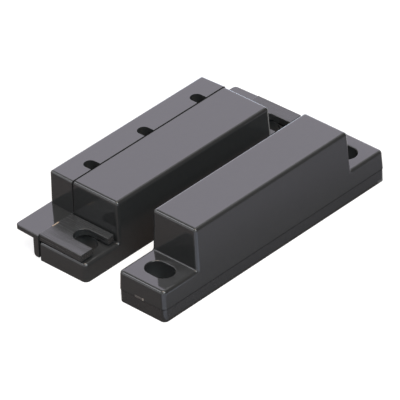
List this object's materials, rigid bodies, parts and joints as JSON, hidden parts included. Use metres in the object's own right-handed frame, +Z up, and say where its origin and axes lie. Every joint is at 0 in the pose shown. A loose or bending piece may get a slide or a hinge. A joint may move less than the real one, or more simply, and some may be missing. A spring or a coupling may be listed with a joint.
{
  "type": "magnetic contact",
  "caption": "Surface magnetic contact: reed switch unit with screw terminals under a pull-off cover, and a matching magnet unit on a spacer plate.",
  "frame": {"origin": "middle of the footprint of both units, in the mounting plane", "axes": "+X along both units, +Y from the magnet unit towards the switch unit and its terminal cover, +Z up off the mounting surface"},
  "size_m": [0.0636, 0.04, 0.0161],
  "materials": {
    "housing_plastic": "glossy moulded black-brown",
    "cover_plastic": "glossy moulded black-brown with faint flow marks",
    "spacer_plastic": "moulded black-brown",
    "potting_resin": "poured resin",
    "reed_glass": "clear drawn glass with a green tint",
    "reed_metal": "plated nickel-iron",
    "tinned_wire": "tinned",
    "terminal_brass": "pressed, bright",
    "clamp_steel": "zinc plated",
    "screw_steel": "nickel plated",
    "magnet_alloy": "sintered"
  },
  "bodies": {
    "contact_set": {"switch_housing": "housing_plastic", "switch_potting": "potting_resin", "reed_glass": "reed_glass", "reed_common_blade": "reed_metal", "reed_open_contact": "reed_metal", "reed_closed_contact": "reed_metal", "link_common": "tinned_wire", "link_open": "tinned_wire", "link_closed": "tinned_wire", "terminal_plate_common": "terminal_brass", "terminal_plate_open": "terminal_brass", "terminal_plate_closed": "terminal_brass", "wire_clamp_common": "clamp_steel", "wire_clamp_open": "clamp_steel", "wire_clamp_closed": "clamp_steel", "terminal_screw_common": "screw_steel", "terminal_screw_open": "screw_steel", "terminal_screw_closed": "screw_steel", "magnet_housing": "housing_plastic", "magnet_spacer": "spacer_plastic", "bar_magnet": "magnet_alloy", "magnet_potting": "potting_resin"},
    "cover": {"terminal_cover": "cover_plastic"}
  },
  "joints": [
    {"name": "cover_slide", "type": "slide", "parent": "contact_set", "child": "cover", "axis": [0, 1, 0], "range_m": [0, 0.02]}
  ]
}
